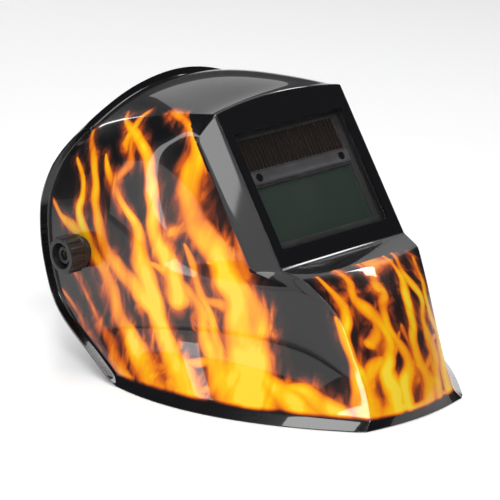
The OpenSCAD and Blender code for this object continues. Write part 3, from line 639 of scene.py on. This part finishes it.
# Thin-film cell: fine vertical scribe lines, warmer towards one end.
amber, tree, shader = new_material("solar_film")
place = tree.nodes.new("ShaderNodeTexCoord")
axes = tree.nodes.new("ShaderNodeSeparateXYZ")
tree.links.new(place.outputs["Object"], axes.inputs[0])
scribed = tree.nodes.new("ShaderNodeTexWave")
scribed.bands_direction = "Y"
scribed.inputs["Scale"].default_value = 92
scribed.inputs["Distortion"].default_value = 0.15
scribed.inputs["Detail"].default_value = 1.0
tree.links.new(place.outputs["Object"], scribed.inputs["Vector"])
blotch = noise(tree, 130, (0.2, 3, 0.2), 3.0, 0.6)
warm = formula(tree, "MULTIPLY_ADD", axes.outputs["Y"], 4.5, 0.35)
lines = formula(tree, "MULTIPLY_ADD", scribed.outputs["Fac"], 0.30, formula(tree, "MULTIPLY", blotch, 0.5))
tree.links.new(ramp(tree, formula(tree, "MULTIPLY_ADD", warm, 0.35, lines, True),
                    [(0.15, (0.006, 0.005, 0.004)), (0.5, (0.013, 0.009, 0.006)),
                     (0.9, (0.030, 0.013, 0.010))]),
               shader.inputs["Base Color"])
tree.links.new(formula(tree, "MULTIPLY_ADD", scribed.outputs["Fac"], 0.15, 0.15), shader.inputs["Roughness"])
shader.inputs["Coat Weight"].default_value = 0.5
shader.inputs["Coat Roughness"].default_value = 0.05
give(amber, "solar_panel")

# Filter glass: a mirror-smooth green coating over the dark cell.
coated, tree, shader = new_material("filter_glass")
marks = place_effect(tree, handling, **{"Scratch Scale": 500, "Smear Scale": 18})
tree.links.new(ramp(tree, marks["Smears"], [(0.25, (0.027, 0.041, 0.032)), (0.75, (0.036, 0.051, 0.041))]),
               shader.inputs["Base Color"])
tree.links.new(formula(tree, "MULTIPLY_ADD", marks["Scratches"], 0.06, 0.06), shader.inputs["Roughness"])
give(coated, "uv_ir_filter", "liquid_crystal_cell")

resist, tree, shader = new_material("board_resist")
grainy = place_effect(tree, moulded, **{"Grain Scale": 1600, "Tone Scale": 260})
tree.links.new(ramp(tree, grainy["Tone"], [(0.4, (0.004, 0.06, 0.02)), (0.6, (0.012, 0.12, 0.045))]),
               shader.inputs["Base Color"])
tree.links.new(formula(tree, "MULTIPLY_ADD", grainy["Tone"], 0.2, 0.3), shader.inputs["Roughness"])
bump(tree, grainy["Height"], 0.00004, shader)
give(resist, "circuit_board")

# Zinc-plated steel: drawn or turned, with a fine directional grain and a little tarnish.
zinc, tree, shader = new_material("zinc_plated_steel")
turned = noise(tree, 1200, (1, 0.12, 1), 2.0, 0.6)
marks = place_effect(tree, handling, **{"Scratch Scale": 500, "Smear Scale": 90})
tree.links.new(ramp(tree, marks["Smears"], [(0.3, (0.42, 0.42, 0.43)), (0.7, (0.64, 0.64, 0.66))]),
               shader.inputs["Base Color"])
tree.links.new(formula(tree, "MULTIPLY_ADD", turned, 0.25, 0.18), shader.inputs["Roughness"])
shader.inputs["Metallic"].default_value = 1.0
bump(tree, turned, 0.00001, shader)
for node in ("button_cells", "latch_screws", "carrier_screws"):
    eased(node, zinc, 0.12)

# ---------------------------------------------------------------------------
# Cartridge controls: three ribbed dials, a test button and two turn-buttons that hold it in.
# They are moulded in a harder, slightly glossier nylon than the case.
# ---------------------------------------------------------------------------
dial_black = moulded_plastic("dial_nylon", (0.012, 0.012, 0.013), 0.4, 1100, 0.00005, 0.15)
for node in ("shade_dial", "sensitivity_dial", "delay_dial", "right_latch", "left_latch"):
    eased(node, dial_black, 0.25)
button_red = moulded_plastic("button_red", (0.42, 0.02, 0.012), 0.3, 1200, 0.00003, 0.05, 0.3)
eased("test_button", button_red, 0.5, 38, 3)

# ---------------------------------------------------------------------------
# Pivots: a bushing through each side of the shell, a stop disc, a washer, a hexagon-headed nylon
# bolt and a lobed tension knob whose brass nut sits in the hub.
# ---------------------------------------------------------------------------
pivot_black = moulded_plastic("pivot_nylon", (0.010, 0.010, 0.0105), 0.38, 800, 0.00006, 0.2)
knob_black = moulded_plastic("knob_nylon", (0.010, 0.010, 0.0105), 0.42, 620, 0.00009, 0.06)
eased("pivot_bushings", pivot_black, 0.6, 38, 3)
eased("tilt_stop_discs", pivot_black, 0.3)
eased("pivot_bolts", pivot_black, 0.5)
eased("headgear_arms", pivot_black, 0.4)
eased("pivot_washers", zinc, 0.15)
for node in ("right_tension_knob", "left_tension_knob"):
    eased(node, knob_black, 0.55, 30, 3)
brass, tree, shader = new_material("turned_brass")
turned = noise(tree, 1500, (1, 0.15, 1), 2.0, 0.6)
marks = place_effect(tree, handling, **{"Scratch Scale": 600, "Smear Scale": 120})
tree.links.new(ramp(tree, marks["Smears"], [(0.3, (0.44, 0.26, 0.07)), (0.7, (0.72, 0.50, 0.19))]),
               shader.inputs["Base Color"])
tree.links.new(formula(tree, "MULTIPLY_ADD", turned, 0.2, 0.2), shader.inputs["Roughness"])
shader.inputs["Metallic"].default_value = 1.0
bump(tree, turned, 0.00001, shader)
eased("knob_nuts_right", brass, 0.3)
eased("knob_nuts_left", brass, 0.3)

# ---------------------------------------------------------------------------
# Headgear: a head oval and crown strap moulded flat in polyethylene and bent to shape, held by
# studs, snaps and rivets. The surface is waxy and picks up dust.
# ---------------------------------------------------------------------------
strap_black = moulded_plastic("strap_polyethylene", (0.017, 0.017, 0.018), 0.46, 420, 0.00008, 0.4)
for node in ("headband", "crown_strap_right", "crown_strap_left", "right_rack", "left_rack"):
    eased(node, strap_black, 0.3)
for node in ("slide_studs", "sweatband_snaps", "crown_strap_peg", "strap_rivets"):
    eased(node, pivot_black, 0.3)

# ---------------------------------------------------------------------------
# Size ratchet: a two-part housing at the nape, screwed together round a nylon pinion and a click
# spring, with a large lobed knob behind.
# ---------------------------------------------------------------------------
eased("ratchet_housing", pivot_black, 0.5)
eased("ratchet_cover", pivot_black, 0.5)
eased("ratchet_screws", zinc, 0.12)
eased("ratchet_knob", knob_black, 0.7, 30, 3)
eased("ratchet_click_spring", zinc, 0.1)
pinion = moulded_plastic("natural_nylon", (0.55, 0.52, 0.45), 0.4, 900, 0.00004, 0.1)
eased("ratchet_pinion", pinion, 0.2)

# ---------------------------------------------------------------------------
# Sweatband and nape pad: soft foam under a knitted cover, seamed along both edges. Both are stuffed
# by letting a cloth skin swell, with the side that lies on the headgear held still.
# ---------------------------------------------------------------------------
knit, enter, leave = effect("knitted_cover", [("Stitch Scale", 380)], ["Height", "Tone"])
yarn = knit.nodes.new("ShaderNodeTexCoord")
ribs = []
for direction in ("DIAGONAL", "Z"):
    rib = knit.nodes.new("ShaderNodeTexWave")
    rib.bands_direction = direction
    rib.inputs["Distortion"].default_value = 1.2
    rib.inputs["Detail"].default_value = 1.0
    knit.links.new(enter.outputs["Stitch Scale"], rib.inputs["Scale"])
    knit.links.new(yarn.outputs["Object"], rib.inputs["Vector"])
    ribs.append(rib.outputs["Fac"])
fuzz = noise(knit, 2600, (1, 1, 1), 2.0, 0.7)
loops = formula(knit, "MULTIPLY", ribs[0], ribs[1])
knit.links.new(formula(knit, "MULTIPLY_ADD", fuzz, 0.35, loops), leave.inputs["Height"])
knit.links.new(formula(knit, "MULTIPLY_ADD", noise(knit, 55, (1, 1, 1), 4.0, 0.6), 0.6,
                       formula(knit, "MULTIPLY", loops, 0.4)), leave.inputs["Tone"])
cover, tree, shader = new_material("knitted_sweat_cover")
knitted = place_effect(tree, knit, **{"Stitch Scale": 260})
tree.links.new(ramp(tree, knitted["Tone"], [(0.2, (0.012, 0.012, 0.014)), (0.65, (0.045, 0.045, 0.05))]),
               shader.inputs["Base Color"])
tree.links.new(formula(tree, "MULTIPLY_ADD", knitted["Tone"], 0.1, 0.82), shader.inputs["Roughness"])
shader.inputs["Sheen Weight"].default_value = 0.35
bump(tree, knitted["Height"], 0.00025, shader)


def stuffed(node, name, held, voxel, tuck, most):
    """A soft pad grown from the CAD solid: remeshed, tucked in, then swollen as cloth."""
    pad = bpy.data.objects.new(name, frame["nodes"][node].data.copy())
    scene.collection.objects.link(pad)
    skin = pad.modifiers.new("skin", "REMESH")
    skin.mode = "VOXEL"
    skin.voxel_size = voxel * MM
    apply_modifiers(pad)
    count = len(pad.data.vertices)
    start = np.empty(count * 3)
    facing_out = np.empty(count * 3)
    pad.data.vertices.foreach_get("co", start)
    pad.data.vertex_normals.foreach_get("vector", facing_out)
    start, facing_out = start.reshape(-1, 3), facing_out.reshape(-1, 3)
    start -= facing_out * tuck * MM
    pad.data.vertices.foreach_set("co", start.ravel())
    still = held(start, facing_out)
    pins = pad.vertex_groups.new(name="held_side")
    pins.add([int(k) for k in np.nonzero(still)[0]], 1.0, "REPLACE")
    swollen = start + facing_out * (0.55 * most * MM) * (~still)[:, None]
    cloth = pad.modifiers.new("stuffing", "CLOTH")
    cloth.settings.quality = 5
    cloth.settings.mass = 0.002
    cloth.settings.use_pressure = True
    cloth.settings.uniform_pressure_force = 4.0
    cloth.settings.tension_stiffness = 5
    cloth.settings.compression_stiffness = 5
    cloth.settings.bending_stiffness = 0.05
    cloth.settings.effector_weights.gravity = 0
    cloth.settings.vertex_group_mass = "held_side"
    swell_frames = 20
    for moment in range(1, swell_frames + 1):
        scene.frame_set(moment)
    shaped = pad.evaluated_get(bpy.context.evaluated_depsgraph_get())
    swollen = np.empty(count * 3)
    shaped.data.vertices.foreach_get("co", swollen)
    swollen = swollen.reshape(-1, 3)
    pad.modifiers.clear()
    scene.frame_set(1)
    moved = swollen - start
    far = np.linalg.norm(moved, axis=1)
    moved *= np.minimum(1, most * MM / np.maximum(far, 1e-9))[:, None]
    pad.data.vertices.foreach_set("co", (start + moved).ravel())
    finer = pad.modifiers.new("finer", "SUBSURF")
    finer.levels = finer.render_levels = 1
    apply_modifiers(pad)
    return pad


def sew(pad, lines, depth, width):
    """Pulls the cover in along seams: each line gives a signed distance in millimetres per point."""
    places = np.empty(len(pad.data.vertices) * 3)
    outward = np.empty_like(places)
    pad.data.vertices.foreach_get("co", places)
    pad.data.vertex_normals.foreach_get("vector", outward)
    places, outward = places.reshape(-1, 3), outward.reshape(-1, 3)
    pulled = np.zeros(len(places))
    for line in lines:
        pulled = np.maximum(pulled, np.exp(-(line(places / MM) / width) ** 2))
    pad.data.vertices.foreach_set("co", (places - outward * (pulled * depth * MM)[:, None]).ravel())
    pad.data.shade_smooth()
    pad.data.materials.clear()
    pad.data.materials.append(cover)


pivot = np.array((chin_x - 240, 0.0, 90.0))
head_lean = math.radians(8)
head_middle = -16
facing_cosine = 0.35
head_ahead = np.array((math.cos(head_lean), 0, math.sin(head_lean)))
head_up = np.array((-math.sin(head_lean), 0, math.cos(head_lean)))


def up_head(places):
    return (places - pivot) @ head_up


def beside_band(places, outward):
    """The side of the sweatband that lies on the headband faces away from the head's middle."""
    from_middle = places / MM - pivot - head_ahead * head_middle
    flat = from_middle - np.outer(from_middle @ head_up, head_up)
    flat /= np.linalg.norm(flat, axis=1)[:, None]
    return np.einsum("ij,ij->i", flat, outward) > facing_cosine


sweatband = stuffed("sweatband", "sweatband_foam", beside_band, 2.2, 0.5, 1.3)
low_seam, high_seam = 3.6, 22.4
sew(sweatband, [lambda p: up_head(p) - low_seam, lambda p: up_head(p) - high_seam], 0.6, 0.9)
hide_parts("sweatband")
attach(sweatband, "headgear")


def beside_housing(places, outward):
    return outward @ head_ahead < -facing_cosine


nape = stuffed("nape_pad", "nape_cushion", beside_housing, 2.0, 0.7, 1.6)
nape_middle, edge_seam = 7, 12.5
outer_channel, inner_channel = 17, 5.5
sew(nape, [lambda p: np.abs(up_head(p) - nape_middle) - edge_seam,
           lambda p: np.abs(p[:, 1]) - outer_channel, lambda p: np.abs(p[:, 1]) - inner_channel], 0.7, 1.0)
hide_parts("nape_pad")
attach(nape, "headgear")
